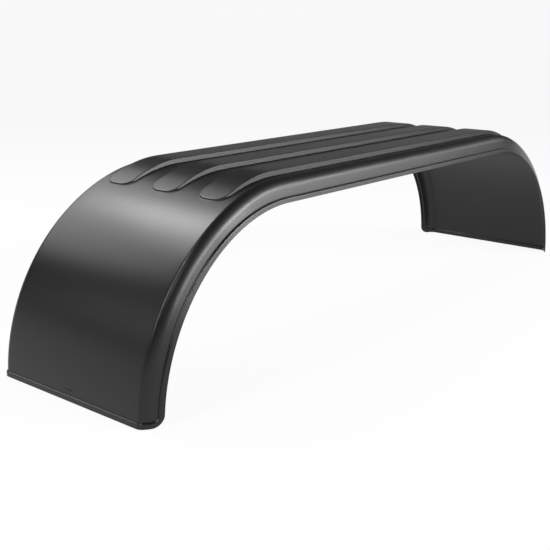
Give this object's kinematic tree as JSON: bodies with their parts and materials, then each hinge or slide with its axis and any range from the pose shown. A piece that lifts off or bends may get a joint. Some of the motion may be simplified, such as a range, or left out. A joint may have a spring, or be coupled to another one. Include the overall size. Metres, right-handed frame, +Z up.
{
  "type": "trailer mudguard",
  "caption": "Black plastic mudguard for a pair of trailer axles: a flat top with raised lengthwise ribs, curving down at both ends, with flared side flanges.",
  "frame": {"origin": "on the ground plane, at the middle of the length and of the width", "axes": "+X along the length of the arch, from the foot nearer the camera to the far foot; -Y toward the outboard side, which faces the camera; +Z up, with both feet on z = 0"},
  "size_m": [2.604, 0.65, 0.613],
  "materials": {
    "black_plastic": "satin"
  },
  "bodies": {
    "root": {"mudguard": "black_plastic"}
  },
  "joints": []
}
